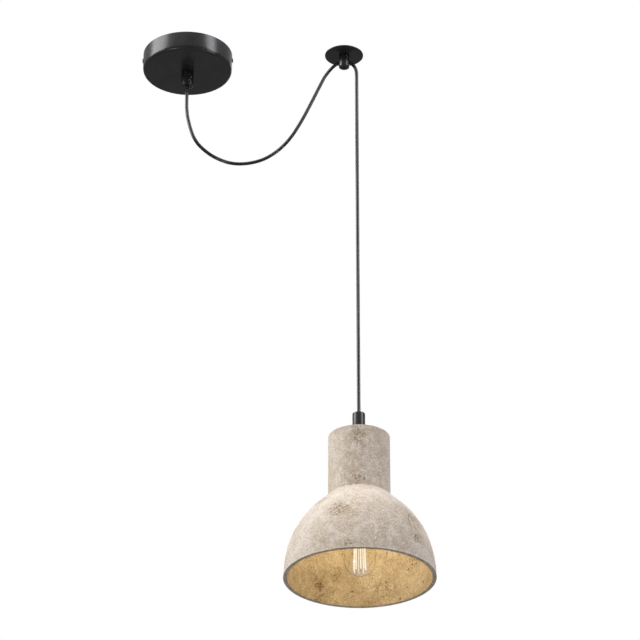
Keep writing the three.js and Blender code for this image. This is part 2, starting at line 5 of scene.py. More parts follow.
import bmesh
import bpy
from mathutils import Matrix, Vector, noise


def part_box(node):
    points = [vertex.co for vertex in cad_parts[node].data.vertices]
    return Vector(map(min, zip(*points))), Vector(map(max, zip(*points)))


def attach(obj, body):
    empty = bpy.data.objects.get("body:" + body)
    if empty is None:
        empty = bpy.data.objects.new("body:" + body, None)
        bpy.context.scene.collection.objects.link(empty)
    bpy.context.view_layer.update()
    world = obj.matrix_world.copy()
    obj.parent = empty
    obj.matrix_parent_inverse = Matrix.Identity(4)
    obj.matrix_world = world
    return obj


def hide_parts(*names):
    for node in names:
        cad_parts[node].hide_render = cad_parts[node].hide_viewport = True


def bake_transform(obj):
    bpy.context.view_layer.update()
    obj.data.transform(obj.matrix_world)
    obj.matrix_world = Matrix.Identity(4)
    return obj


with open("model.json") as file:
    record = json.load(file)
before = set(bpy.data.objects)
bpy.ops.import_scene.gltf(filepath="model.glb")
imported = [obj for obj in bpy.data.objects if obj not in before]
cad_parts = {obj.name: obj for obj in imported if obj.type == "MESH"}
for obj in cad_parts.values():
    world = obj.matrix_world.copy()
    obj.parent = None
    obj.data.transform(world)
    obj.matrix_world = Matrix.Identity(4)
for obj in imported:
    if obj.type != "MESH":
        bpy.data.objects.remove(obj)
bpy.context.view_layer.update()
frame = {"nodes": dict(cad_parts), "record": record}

MM = 0.001  # shapes are drawn in millimetres, and all else is in metres


def in_scene(name, data):
    """A new object with this data, in the scene."""
    made = bpy.data.objects.new(name, data)
    bpy.context.scene.collection.objects.link(made)
    return made


# ------------------------ camera, fitted to the photo
lens = bpy.data.cameras.new("camera")
lens.sensor_width = 36
lens.lens = 176.2
camera = in_scene("camera", lens)
camera.location = (0.1963, -3.5663, -2.3083)
camera.rotation_euler = (math.radians(90 + 28.085), 0, math.radians(0.286))
bpy.context.scene.camera = camera


# ------------------------ materials
class Nodes:
    """Adds nodes to a tree. An input takes a value or another node's output."""

    def __init__(self, tree):
        self.tree = tree

    def node(self, kind, settings=None, **inputs):
        """Inputs go by the socket's name, or as i0, i1 and so on by its place."""
        made = self.tree.nodes.new(kind)
        for key, value in (settings or {}).items():
            setattr(made, key, value)
        for key, value in inputs.items():
            self.feed(made.inputs[int(key[1:]) if key[0] == "i" and key[1:].isdigit() else key], value)
        return made

    def feed(self, socket, value):
        if isinstance(value, bpy.types.NodeSocket):
            self.tree.links.new(value, socket)
        else:
            socket.default_value = value

    def math(self, operation, a, b=0.0):
        return self.node("ShaderNodeMath", {"operation": operation}, i0=a, i1=b).outputs[0]

    def between(self, value, low, high, to_low=0.0, to_high=1.0):
        """Maps a value smoothly and holds it at the ends."""
        made = self.node("ShaderNodeMapRange", {"interpolation_type": "SMOOTHSTEP"}, Value=value)
        for socket, number in zip(made.inputs[1:5], (low, high, to_low, to_high)):
            socket.default_value = number
        return made.outputs["Result"]


class Paint(Nodes):
    """A node material: one Principled shader, with textures in object coordinates, in metres."""

    def __init__(self, **sockets):
        self.material = bpy.data.materials.new("paint")
        self.material.use_nodes = True
        super().__init__(self.material.node_tree)
        self.shader = self.tree.nodes["Principled BSDF"]
        self.set(**sockets)
        self.place = self.node("ShaderNodeTexCoord").outputs["Object"]

    def set(self, **values):
        for socket, value in values.items():
            self.feed(self.shader.inputs[socket.replace("_", " ")], value)

    def noise(self, size, detail=2.0, roughness=0.5, place=None):
        inputs = {"Vector": place or self.place, "Scale": 1 / size, "Detail": detail, "Roughness": roughness}
        return self.node("ShaderNodeTexNoise", **inputs).outputs["Fac"]

    def stretched(self, x, y, z):
        made = self.node("ShaderNodeVectorMath", {"operation": "MULTIPLY"}, i0=self.place, i1=(x, y, z))
        return made.outputs["Vector"]

    def attribute(self, name):
        return self.node("ShaderNodeAttribute", {"attribute_name": name}).outputs["Fac"]

    def mix(self, factor, a, b):
        made = self.node("ShaderNodeMix", {"data_type": "RGBA"})
        self.feed(made.inputs[0], factor)
        for socket, colour in ((made.inputs[6], a), (made.inputs[7], b)):
            self.feed(socket, colour if isinstance(colour, bpy.types.NodeSocket) else (*colour, 1))
        return made.outputs[2]

    def bumped(self, *layers):
        """The material, with bumps as (height, depth in metres)."""
        normal = None
        for height, depth in layers:
            made = self.node("ShaderNodeBump", Height=height, Distance=depth)
            if normal:
                self.feed(made.inputs["Normal"], normal)
            normal = made.outputs["Normal"]
        self.set(Normal=normal)
        return self.material


def black_paint():
    """Satin enamel with faint changes of tone and gloss."""
    p = Paint(Specular_IOR_Level=0.5)
    tone = p.between(p.noise(0.02, 3), 0.35, 0.65)
    p.set(Base_Color=p.mix(tone, (0.0145, 0.0145, 0.0155), (0.019, 0.019, 0.02)))
    p.set(Roughness=p.between(p.noise(0.015, 1), 0.3, 0.7, 0.27, 0.31))
    return p.bumped((p.noise(0.0011, 1), 0.0000015))


def black_sheath():
    """Extruded cord sheath: satin, with a very fine grain."""
    p = Paint(Specular_IOR_Level=0.75)
    tone = p.between(p.noise(0.012, 3), 0.3, 0.7)
    p.set(Base_Color=p.mix(tone, (0.006, 0.006, 0.007), (0.01, 0.01, 0.011)))
    p.set(Roughness=p.between(p.noise(0.01, 2), 0.3, 0.7, 0.21, 0.26))
    return p.bumped((p.noise(0.0007, 2), 0.000003))


def plastic(dark, light, rough, grain=0.0008):
    """Moulded plastic or rubber with a fine grain."""
    p = Paint()
    p.set(Base_Color=p.mix(p.between(p.noise(0.01, 4), 0.3, 0.7), dark, light))
    p.set(Roughness=p.between(p.noise(0.004, 3), 0.3, 0.7, rough - 0.05, rough + 0.05))
    return p.bumped((p.noise(grain, 2), 0.00002))


def metal(dark, light, rough, grain=(1, 1, 1)):
    """Bare or plated metal with dull patches and a fine grain, which can be squeezed along an axis."""
    p = Paint(Metallic=1.0)
    fine = p.noise(0.0012, 3, 0.6, p.stretched(*grain))
    p.set(Base_Color=p.mix(p.between(p.noise(0.006, 4), 0.3, 0.7), dark, light))
    p.set(Roughness=p.between(fine, 0.3, 0.7, rough - 0.06, rough + 0.08))
    return p.bumped((fine, 0.00001))


def ceramic():
    """Unglazed steatite."""
    p = Paint()
    p.set(Base_Color=p.mix(p.between(p.noise(0.004, 4), 0.35, 0.7), (0.80, 0.77, 0.69), (0.70, 0.66, 0.57)))
    p.set(Roughness=p.between(p.noise(0.002, 2), 0.3, 0.7, 0.42, 0.6))
    return p.bumped((p.noise(0.0006, 2), 0.00002))


def clear_glass():
    """Clear bulb glass with the faint waviness of blown glass."""
    p = Paint(Transmission_Weight=1.0, IOR=1.46, Roughness=0.0, Specular_IOR_Level=0.2)
    tint = p.between(p.noise(0.03, 2), 0.3, 0.7)
    p.set(Base_Color=p.mix(tint, (0.985, 0.975, 0.955), (1.0, 0.995, 0.985)))
    return p.bumped((p.noise(0.03, 1), 0.00001))


def phosphor():
    """Glowing strip: a cream coating that is browner between its small chips."""
    p = Paint(Roughness=0.6)
    chip_pitch = 0.0021
    along = p.node("ShaderNodeSeparateXYZ", Vector=p.place).outputs["Z"]
    phase = p.math("FRACT", p.math("MULTIPLY", along, 1 / chip_pitch))
    gap = p.between(p.math("ABSOLUTE", p.math("SUBTRACT", phase, 0.5)), 0.33, 0.48)
    uneven = p.between(p.noise(0.003, 2), 0.35, 0.65, 0.35, 1.0)
    gap = p.math("MULTIPLY", gap, uneven)
    p.set(Base_Color=p.mix(gap, (0.10, 0.09, 0.06), (0.06, 0.04, 0.02)))
    p.set(Emission_Color=p.mix(gap, (0.96, 0.89, 0.73), (0.70, 0.55, 0.36)), Emission_Strength=1.0)
    return p.bumped((gap, -0.00005))


def concrete():
    """Cast concrete: warm and sandy, with brown mottled zones and clusters of dark pits. The inside's warmer,
    yellower colours are painted warm light of the bulb.
    """
    p = Paint(Specular_IOR_Level=0.25)
    inside = p.attribute("inside")
    clouds = p.between(p.noise(0.024, 5, 0.65), 0.38, 0.64)
    outer = p.mix(clouds, (0.775, 0.695, 0.61), (0.675, 0.585, 0.49))
    # painted light: the inside's colours are warmer and yellower than the outside's, standing in for the
    # bulb's warm light on them
    inner = p.mix(clouds, (0.79, 0.665, 0.45), (0.59, 0.46, 0.275))
    colour = p.mix(inside, outer, inner)
    # brown mottle; on the rim's underside the brown attribute carries painted shade and warm bounce light
    mottle = p.math("MULTIPLY", p.attribute("brown"), p.between(p.noise(0.009, 5, 0.7), 0.38, 0.60))
    colour = p.mix(p.math("MULTIPLY", mottle, 0.55), colour, (0.44, 0.325, 0.21))
    blotch = p.between(p.noise(0.011, 4, 0.6), 0.54, 0.72)
    colour = p.mix(p.math("MULTIPLY", blotch, 0.3), colour, (0.46, 0.365, 0.265))
    grain = p.noise(0.002, 3, 0.75)
    colour = p.mix(p.between(grain, 0.50, 0.65, 0, 0.75), colour, (0.36, 0.28, 0.20))
    light_grain = p.noise(0.0019, 3, 0.75, p.stretched(1.1, 1.1, 0.9))
    colour = p.mix(p.between(light_grain, 0.51, 0.66, 0, 0.75), colour, (0.90, 0.83, 0.745))
    # real grain inside, its orange tint painted warm light of the bulb
    rough_inside = p.math("MULTIPLY", inside, p.between(p.noise(0.0038, 4, 0.75), 0.50, 0.63))
    colour = p.mix(p.math("MULTIPLY", rough_inside, 0.42), colour, (0.50, 0.33, 0.15))
    stain = p.math("MULTIPLY", p.attribute("stain"), p.between(p.noise(0.0045, 4, 0.7), 0.36, 0.56))
    colour = p.mix(p.math("MULTIPLY", stain, 0.55), colour, (0.36, 0.245, 0.13))
    near = p.between(p.attribute("stain"), 0.2, 0.55)
    specks = p.math("MULTIPLY", near, p.between(p.noise(0.0024, 2, 0.6), 0.57, 0.63))
    lone = p.math("MULTIPLY", inside, p.between(p.noise(0.0036, 1), 0.71, 0.74))
    specks = p.math("MAXIMUM", specks, lone)
    dark = p.math("MULTIPLY", p.math("MAXIMUM", specks, p.attribute("pit")), 0.88)
    p.set(Base_Color=p.mix(dark, colour, (0.165, 0.105, 0.055)))
    p.set(Roughness=p.between(clouds, 0, 1, 0.82, 0.95))
    return p.bumped((p.noise(0.006, 4, 0.6), 0.0003), (grain, 0.0006), (specks, -0.0003))


PAINTS = {
    "black_paint": black_paint(),
    "black_cord": black_sheath(),
    "concrete": concrete(),
    "zinc_steel": metal((0.50, 0.51, 0.53), (0.66, 0.67, 0.69), 0.30),
    "black_plastic": plastic((0.014, 0.014, 0.015), (0.024, 0.024, 0.025), 0.42),
    "white_plastic": plastic((0.70, 0.68, 0.61), (0.80, 0.78, 0.72), 0.45),
    "brass": metal((0.56, 0.38, 0.14), (0.76, 0.56, 0.26), 0.30),
    "ceramic": ceramic(),
    "rubber": plastic((0.012, 0.012, 0.012), (0.022, 0.022, 0.021), 0.75, 0.0006),
    "brown_sleeve": plastic((0.105, 0.040, 0.018), (0.15, 0.060, 0.028), 0.38),
    "blue_sleeve": plastic((0.015, 0.075, 0.31), (0.028, 0.115, 0.42), 0.38),
    "clear_glass": clear_glass(),
    "bulb_cap_metal": metal((0.55, 0.54, 0.52), (0.72, 0.71, 0.69), 0.22, (1, 1, 6)),
    "filament": phosphor(),
}
for slot_name, material in PAINTS.items():
    material.name = slot_name


# ------------------------ pieces
SLOT_OF = {part["node"]: part["material_slot"] for part in frame["record"]["subparts"]}
BODIES = frame["record"]["behaviour"]["bodies"]
BODY_OF = {node: body for body, nodes in BODIES.items() for node in nodes}


def mesh_piece(name, mesh, body, slot, *stands_for):
    """A piece in its slot's material, which rides on a CAD body and stands for the CAD nodes named.
    A piece with no body rides on none."""
    piece = in_scene(name, mesh)
    mesh.name = name
    mesh.materials.append(PAINTS[slot])
    if body:
        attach(piece, body)
    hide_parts(*stands_for)
    return piece


def make(maker, node, *details):
    """The piece that stands for one CAD node: its mesh comes from the maker."""
    return mesh_piece(f"{node}_piece", maker(node, *details), BODY_OF[node], SLOT_OF[node], node)


# ------------------------ shapes
def shade_by_angle(mesh, degrees=35):
    for polygon in mesh.polygons:
        polygon.use_smooth = True
    mesh.set_sharp_from_angle(angle=math.radians(degrees))


def baked(b):
    """Turns a bmesh into a mesh."""
    mesh = bpy.data.meshes.new("mesh")
    b.to_mesh(mesh)
    b.free()
    return mesh


def outward(mesh):
    """Merges doubles and turns the faces out."""
    b = bmesh.new()
    b.from_mesh(mesh)
    bmesh.ops.remove_doubles(b, verts=b.verts, dist=1e-7)
    bmesh.ops.recalc_face_normals(b, faces=b.faces)
    b.to_mesh(mesh)
    b.free()
    shade_by_angle(mesh)
    return mesh


def smooth_path(points, spacing):
    """A centripetal Catmull-Rom curve through the points, with a sample about every spacing."""
    p = [2 * points[0] - points[1], *points, 2 * points[-1] - points[-2]]
    out = []
    for a, b, c, d in zip(p, p[1:], p[2:], p[3:]):
        ta = 0.0
        tb = ta + math.sqrt((b - a).length)
        tc = tb + math.sqrt((c - b).length)
        td = tc + math.sqrt((d - c).length)
        count = max(1, round((c - b).length / spacing))
        for i in range(count):
            t = tb + (tc - tb) * i / count
            ab = a.lerp(b, (t - ta) / (tb - ta))
            bc = b.lerp(c, (t - tb) / (tc - tb))
            cd = c.lerp(d, (t - tc) / (td - tc))
            abc = ab.lerp(bc, (t - ta) / (tc - ta))
            bcd = bc.lerp(cd, (t - tb) / (td - tb))
            out.append(abc.lerp(bcd, (t - tb) / (tc - tb)))
    return [*out, points[-1]]


def tube(path, radius, sides=20):
    """A closed round tube along the path of millimetres."""
    b = bmesh.new()
    along = (path[1] - path[0]).normalized()
    side = along.cross(Vector((0, 1, 0)))
    if side.length < 0.1:
        side = along.cross(Vector((1, 0, 0)))
    side.normalize()
    angles = [2 * math.pi * k / sides for k in range(sides)]
    rings = []
    for i, point in enumerate(path):
        ahead = path[min(i + 1, len(path) - 1)] - path[max(i - 1, 0)]
        turn = along.rotation_difference(ahead.normalized())
        along = ahead.normalized()
        side.rotate(turn)
        other = along.cross(side)
        out = [math.cos(a) * side + math.sin(a) * other for a in angles]
        rings.append([b.verts.new((point + radius * direction) * MM) for direction in out])
    for low, high in zip(rings, rings[1:]):
        for k in range(sides):
            b.faces.new((low[k], low[(k + 1) % sides], high[(k + 1) % sides], high[k]))
    b.faces.new(rings[0])
    b.faces.new(rings[-1])
    return outward(baked(b))


def rounded(outline, steps=4):
    """Rounds the corners of a closed outline of (u, v) or (u, v, radius) points."""
    out = []
    for i, point in enumerate(outline):
        here = Vector(point[:2])
        radius = point[2] if len(point) > 2 else 0
        to_last = Vector(outline[i - 1][:2]) - here
        to_next = Vector(outline[(i + 1) % len(outline)][:2]) - here
        if not radius:
            out.append(tuple(here))
            continue
        half = to_last.angle(to_next) / 2
        reach = min(radius / math.tan(half), 0.49 * to_last.length, 0.49 * to_next.length)
        start = here + to_last.normalized() * reach
        end = here + to_next.normalized() * reach
        for k in range(steps + 1):
            t = k / steps
            out.append(tuple((1 - t) ** 2 * start + 2 * t * (1 - t) * here + t * t * end))
    return out


def rectangle(u_low, u_high, v_low, v_high, radius=0, steps=4):
    """The outline of a rectangle with rounded corners."""
    corners = ((u_low, v_low), (u_high, v_low), (u_high, v_high), (u_low, v_high))
    return rounded([(u, v, radius) for u, v in corners], steps)


def arc(u, v, radius, start, end, steps):
    """Points of an arc, angles in degrees."""
    turns = [math.radians(start + (end - start) * i / steps) for i in range(steps + 1)]
    return [(u + radius * math.cos(a), v + radius * math.sin(a)) for a in turns]


def stadium(u, v_low, v_high, radius, steps=16):
    """An upright slot with round ends whose centres are v_low and v_high."""
    return arc(u, v_high, radius, 0, 180, steps) + arc(u, v_low, radius, 180, 360, steps)


def hexagon(across_flats):
    return arc(0, 0, across_flats / 2 / math.cos(math.radians(30)), 0, 300, 5)


def rows(r, z_low, z_high, step):
    """Points up a straight wall, about a step apart."""
    count = max(1, round(abs(z_high - z_low) / step))
    return [(r, z_low + (z_high - z_low) * i / count) for i in range(count + 1)]


def dense(outline, step):
    """The closed outline with extra points, so that none is further than step from the next."""
    out = []
    for a, b in zip(outline, [*outline[1:], outline[0]]):
        count = max(1, math.ceil(math.dist(a, b) / step))
        out += [(a[0] + (b[0] - a[0]) * i / count, a[1] + (b[1] - a[1]) * i / count) for i in range(count)]
    return out


def lathe(outline, x=0.0, y=0.0, segments=96, swell=None):
    """A closed skin of revolution about the upright line through (x, y). Points with no radius lie on it.
    swell(angle, radius, height) is added to the radius."""
    b = bmesh.new()
    rings = []
    for r, z in outline:
        if r < 1e-7:
            rings.append([b.verts.new(Vector((x, y, z)) * MM)])
            continue
        ring = []
        for k in range(segments):
            a = 2 * math.pi * k / segments
            rr = r + (swell(a, r, z) if swell else 0)
            ring.append(b.verts.new(Vector((x + rr * math.cos(a), y + rr * math.sin(a), z)) * MM))
        rings.append(ring)
    for low, high in zip(rings, [*rings[1:], rings[0]]):
        if len(low) == len(high) == 1:
            continue
        for k in range(segments):
            corners = [ring[i % len(ring)] for ring, i in ((low, k), (low, k + 1), (high, k + 1), (high, k))]
            b.faces.new(list(dict.fromkeys(corners)))
    return outward(baked(b))


def thread(z_low, z_high, depth, pitch, sharp=1.0):
    """A helical thread between two heights, cut into the radius by up to depth and fading at both ends."""
    def swell(angle, r, z):
        fade = min(1, max(0, (z - z_low) / pitch)) * min(1, max(0, (z_high - z) / pitch))
        phase = (z / pitch - angle / (2 * math.pi)) % 1
        crest = (1 - abs(2 * phase - 1)) ** sharp
        return -depth * fade * (1 - crest)
    return swell


def edison_thread(z_low, z_high, depth):
    """A rounded thread: the radius dips by up to depth, and the thread fades towards both ends."""
    pitch, fading = 3.62, 2

    def swell(angle, r, z):
        fade = min(1, max(0, (z - z_low) / fading), max(0, (z_high - z) / fading))
        phase = z / pitch - angle / (2 * math.pi)
        return -depth * fade * (0.5 - 0.5 * math.cos(2 * math.pi * phase))
    return swell


def at(x, y, z):
    return Matrix.Translation(Vector((x, y, z)) * MM)


def turned(degrees, axis):
    return Matrix.Rotation(math.radians(degrees), 4, axis)


FRONT = turned(90, "X")  # the drawing plane stands up, and its depth runs to -Y
ALONG_X = turned(90, "Z") @ FRONT  # (u, v) is (y, z), and the depth runs to +X
UP_TO_BACK = turned(-90, "X")  # what pointed up points to +Y


def extrusion(outline, depth, matrix):
    """A prism: an outline in the (x, y) plane, drawn out by depth along z, then placed."""
    b = bmesh.new()
    low, high = ([b.verts.new(Vector((u, v, w)) * MM) for u, v in outline] for w in (0, depth))
    b.faces.new(low)
    b.faces.new(high)
    for i in range(len(outline)):
        j = (i + 1) % len(outline)
        b.faces.new((low[i], low[j], high[j], high[i]))
    b.transform(matrix)
    return outward(baked(b))


def plug(x, y, radius, low, high):
    """An upright cylinder between two heights."""
    return lathe(rectangle(0, radius, low, high), x=x, y=y, segments=32)


def drill(radius, length, matrix):
    """A cylinder that starts at the origin and points up, then placed."""
    cutter = plug(0, 0, radius, 0, length)
    cutter.transform(matrix)
    return cutter


def slab(x, y, z):
    """A block between pairs of limits."""
    return extrusion(rectangle(*x, *y), z[1] - z[0], at(0, 0, z[0]))


def cross_recess(half_long, half_short, x, z):
    """Two crossed blocks, 2 mm high, that stand at the height z."""
    arms = ((half_long, half_short), (half_short, half_long))
    return [slab((x - u, x + u), (-v, v), (z, z + 2)) for u, v in arms]


def carve(mesh, *cutters):
    """The mesh with the cutter meshes taken out of it."""
    solid = in_scene("solid", mesh)
    tools = []
    for cutter in cutters:
        tool = in_scene("tool", cutter)
        tools.append(tool)
        cut = solid.modifiers.new("cut", "BOOLEAN")
        cut.operation = "DIFFERENCE"
        cut.solver = "EXACT"
        cut.object = tool
    bpy.context.view_layer.update()
    result = bpy.data.meshes.new_from_object(solid.evaluated_get(bpy.context.evaluated_depsgraph_get()))
    for made in (solid, *tools):
        bpy.data.objects.remove(made)
    return outward(result)


def merged(*meshes):
    """Several closed skins in one mesh."""
    b = bmesh.new()
    for mesh in meshes:
        b.from_mesh(mesh)
    result = baked(b)
    shade_by_angle(result)
    return result


def soften(piece, width):
    """Small bevels on a sheet or moulded piece's sharp edges."""
    bevel = piece.modifiers.new("bevel", "BEVEL")
    bevel.width = width * MM
    bevel.segments = 2
    bevel.limit_method = "ANGLE"
    bevel.angle_limit = math.radians(50)
    bevel.harden_normals = False


def box(node):
    """A CAD node's lowest and highest corners, in millimetres."""
    low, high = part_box(node)
    return low / MM, high / MM


def round_box(node):
    """The same of a round upright node, and its radius."""
    low, high = box(node)
    return low, high, (high.x - low.x) / 2


# ------------------------ the cord
CORD_R = 2.3
DROP_X = 227.8
HOOK_X = 211
# The same route as the CAD cord's, as (x, z), from the canopy grip to the drop.
SWAG_ROUTE = [
    (0, -48.5), (-0.1, -60), (-0.2, -72), (0.1, -84), (1.4, -96), (3.8, -107.5), (6.8, -119),
    (10.6, -129.5), (16.2, -139.3), (24, -148.2), (34, -156.8), (45, -163.5), (57, -168.3), (69, -170.3),
    (81, -169.8), (93, -167.3), (104.5, -162.8), (115, -156.2), (125, -147.6), (134.3, -137),
    (142.5, -125), (150, -111.5), (157.2, -97), (164.2, -81.5), (171.2, -65.5), (178.2, -49.3),
    (185, -34.4), (191, -25), (197.2, -17.6), (204.3, -12.2), (HOOK_X, -10.6), (217.9, -11.9),
    (223, -15.6), (226.2, -21), (227.6, -27), (DROP_X, -32.3),
]
SEAM_Z = -45  # where the two pieces of the drop meet, between the pivots
IN_GRIP = 2.5  # how far the cord's pieces run into the grips before they meet
CORD_STEP = 1.2


def drop_line(top, bottom, steps=60):
    return [Vector((DROP_X, 0, top + (bottom - top) * i / steps)) for i in range(steps + 1)]


def free_cord(name, line, node, body=None):
    """One stretch of the free cord: a tube, on its body if one is given."""
    piece = mesh_piece(name, tube(line, CORD_R), body, "black_cord", node)
    return piece


def bend_about(piece):
    """Bakes the piece's placement into its mesh."""
    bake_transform(piece)


route = [Vector((x, 0, z)) for x, z in SWAG_ROUTE]
whole = smooth_path([route[0] + Vector((0, 0, IN_GRIP)), *route[1:]], CORD_STEP)
hook_point = next(point for point, (x, z) in zip(route, SWAG_ROUTE) if x == HOOK_X)
in_hook = min(range(len(whole)), key=lambda i: (whole[i] - hook_point).length)
grip_mouth_z = box("shade_cord_grip")[1].z

free_cord("swag_cord", whole[: in_hook + 1], "cord_swag", "ceiling_fixings")
over_hook = whole[in_hook:] + drop_line(whole[-1].z, SEAM_Z)[1:]
top_cord = free_cord("hook_cord", over_hook, "cord_top")
long_cord = free_cord("drop_cord", drop_line(SEAM_Z, grip_mouth_z - IN_GRIP), "cord_drop")
bend_about(top_cord)
bend_about(long_cord)


# ------------------------ canopy and cord grips
NIPPLE_R = 4.9
NIPPLE_HOLE_R = 5.4  # holes that the nipple passes through
FITTED_HOLE_R = 5.2  # holes that the nipple screws into
CORD_BORE_R = 2.7
SHEET = 1.5  # canopy and bracket sheet
SCREW_SLOT_R = 2.3  # half width of the slots and holes that the screws pass through


def canopy_cup(node):
    """Pressed steel cup with a soft lower edge and a slot on each side that opens at the top."""
    low, high = box(node)
    radius, top, floor = high.x, high.z, low.z
    outline = rounded([
        (NIPPLE_HOLE_R, floor, 0.3), (radius, floor, 6), (radius, top, 0.35), (radius - SHEET, top, 0.35),
        (radius - SHEET, floor + SHEET, 4.5), (NIPPLE_HOLE_R, floor + SHEET, 0.3),
    ], 8)
    screw_low, screw_high = box("side_screw_right")
    slot = stadium(0, (screw_low.z + screw_high.z) / 2, 5, SCREW_SLOT_R)
    depth = 6
    slots = [extrusion(slot, depth, at(side * radius - depth / 2, 0, 0) @ ALONG_X) for side in (-1, 1)]
    return carve(lathe(outline, segments=192), *slots)


def cord_grip(node, x, socket_at_top):
    """Turned grip: a cord bore at one end, a socket for the nipple at the other, a grub screw hole behind."""
    low, high = box(node)
    radius, socket = high.x - x, 9
    mouth, seat = (low.z, high.z) if socket_at_top else (high.z, low.z)
    socket_end = seat - socket if socket_at_top else seat + socket
    outline = rounded([
        (CORD_BORE_R, mouth, 0.35), (radius, mouth, 0.8), (radius, seat, 0.25),
        (FITTED_HOLE_R, seat, 0.15), (FITTED_HOLE_R, socket_end), (CORD_BORE_R, socket_end),
    ])
    screw_low, screw_high = box(node.replace("cord_grip", "grip_screw"))
    hole = drill(1.95, 12, at(x, 1, (screw_low.z + screw_high.z) / 2) @ UP_TO_BACK)
    return carve(lathe(outline, x=x), hole)


def grub_screw(node):
    """Set screw along Y, with a hexagon socket that faces the back."""
    low, high, radius = round_box(node)
    length = high.y - low.y
    outline = rounded([(radius - 0.4, 0, 0.1), (radius, 0.5), (radius, length, 0.15), (0, length)])
    socket = extrusion(hexagon(1.6), 3, at(0, 0, length - 1.6))
    mesh = carve(lathe([(0, 0), *outline], segments=40), socket)
    centre = (low + high) / 2
    mesh.transform(at(centre.x, low.y, centre.z) @ UP_TO_BACK)
    return mesh


def side_screw(node, side):
    """Round-head screw along X with a cross recess. Its head is at the end that the side names."""
    low, high = box(node)
    z, length = (low.z + high.z) / 2, high.x - low.x
    head, shank, radius = 0.8, 1.9, high.z - z
    pan = rounded([(radius, length - head, 0.1), (radius, length, 0.6), (0, length)])
    outline = [(0, 0), *rows(shank, 0.2, length - head, 0.12), *pan]
    body = lathe(outline, segments=40, swell=thread(0, length - head, 0.35, 0.7))
    mesh = carve(body, *cross_recess(1.7, 0.35, 0, length - 0.55))
    mesh.transform(at(low.x if side > 0 else high.x, 0, z) @ turned(90 * side, "Y"))
    return mesh


make(canopy_cup, "canopy_cup")
make(cord_grip, "canopy_cord_grip", 0, True)
make(grub_screw, "canopy_grip_screw")
make(side_screw, "side_screw_right", 1)
make(side_screw, "side_screw_left", -1)


# ------------------------ hook
STUD_HOLE_R = 2.8


def hook_disc(node):
    low, high, radius = round_box(node)
    outline = [(STUD_HOLE_R, low.z), (radius, low.z, 0.6), (radius, high.z, 0.2), (STUD_HOLE_R, high.z)]
    return lathe(rounded(outline), x=HOOK_X, segments=128)


def hook_post(node):
    """Post with the cord's slot across it, a stud hole from above and the clamp screw's hole from below."""
    low, high, radius = round_box(node)
    stud_end, slot_high, slot_low, clamp_hole_end, clamp_hole_r = -7.2, -7.9, -15.7, -13, 3
    outline = rounded([
        (0, low.z), (radius, low.z, 0.4), (radius, high.z, 0.3), (STUD_HOLE_R, high.z),
        (STUD_HOLE_R, stud_end), (0, stud_end),
    ])
    slot = stadium(0, slot_low + CORD_BORE_R, slot_high - CORD_BORE_R, CORD_BORE_R)
    across = extrusion(slot, 2 * radius + 4, at(HOOK_X - radius - 2, 0, 0) @ ALONG_X)
    clamp_hole = rectangle(0, clamp_hole_r, low.z - 1, clamp_hole_end)
    return carve(lathe(outline, x=HOOK_X), across, lathe(clamp_hole, x=HOOK_X, segments=48))


def clamp_screw(node):
    """Set screw with a hexagon socket that faces down."""
    low, high, radius = round_box(node)
    outline = rounded([(0, low.z), (radius, low.z, 0.4), (radius, high.z, 0.4), (0, high.z)])
    socket = extrusion(hexagon(2.5), 3.5, at(HOOK_X, 0, low.z - 1))
    return carve(lathe(outline, x=HOOK_X, segments=64), socket)


def wood_screw_shank(r, z_low, z_tip, depth, pitch):
    """Outline and swell of a coarsely threaded shank that points up."""
    point, steps = 6, 12
    z_point = z_tip - point
    taper = [(r * (1 - i / steps), z_point + point * i / steps) for i in range(1, steps)]
    wave = thread(z_low + 2, z_tip, depth, pitch, sharp=1.6)
    outline = [*rows(r, z_low, z_point, pitch / 10), *taper, (0, z_tip)]
    return outline, lambda angle, radius, z: wave(angle, radius, z) * min(1, radius / r)


def hook_stud(node):
    low, high = box(node)
    outline, swell = wood_screw_shank(2.4, low.z, high.z, 0.8, 2.4)
    return lathe([(0, low.z), *outline], x=HOOK_X, segments=40, swell=swell)


def ceiling_screw(node):
    """Pan-head wood screw with a cross recess, its point up in the ceiling."""
    low, high = box(node)
    x, seat, domed = (low.x + high.x) / 2, -1.8, 6.2
    outline, swell = wood_screw_shank(2, seat, high.z, 0.7, 2.2)
    head = [(0, low.z), *arc(0, low.z + domed, domed, -84, -58, 4), (3.9, seat - 1), (4, seat)]
    body = lathe([*head, *outline], x=x, segments=40, swell=swell)
    return carve(body, *cross_recess(2, 0.4, x, low.z - 0.6))


make(hook_disc, "hook_disc")
make(hook_post, "hook_post")
make(hook_stud, "hook_stud")
make(clamp_screw, "hook_clamp_screw")
make(ceiling_screw, "bracket_screw_left")
make(ceiling_screw, "bracket_screw_right")


# ------------------------ small parts in the canopy
BLOCK_TOP = -1.8
WAY_Y, WAY_Z = 4.4, -8  # the terminal block's two ways


def mounting_bracket(node):
    """Bent strip with slots for the ceiling screws, a round hole in each turned-down end, and holes for the
    earth screw and the terminal block's peg."""
    low, high = box(node)
    end, half, tab = high.x, high.y, low.z
    earth_x, peg_x, ceiling_screw_x, side_screw_z = 24, -23, 43, -8
    under, over = -3, 3
    outside = [(-end, tab), (-end, 0, 2.4), (end, 0, 2.4), (end, tab)]
    inside = [(end - SHEET, tab), (end - SHEET, -SHEET, 1), (SHEET - end, -SHEET, 1), (SHEET - end, tab)]
    strip = extrusion(rounded([*outside, *inside], 6), 2 * half, at(0, half, 0) @ FRONT)
    cutters = [plug(earth_x, 0, 2.1, under, 1), plug(peg_x, 0, 2.4, under, 1)]
    for side in (-1, 1):
        middle = side * ceiling_screw_x
        slot = stadium(0, middle - 4, middle + 4, SCREW_SLOT_R)
        cutters.append(extrusion([(v, u) for u, v in slot], 4, at(0, 0, under)))
        hole = at(side * end + under, 0, side_screw_z) @ turned(90, "Y")
        cutters.append(drill(SCREW_SLOT_R, over - under, hole))
    return carve(strip, *cutters)


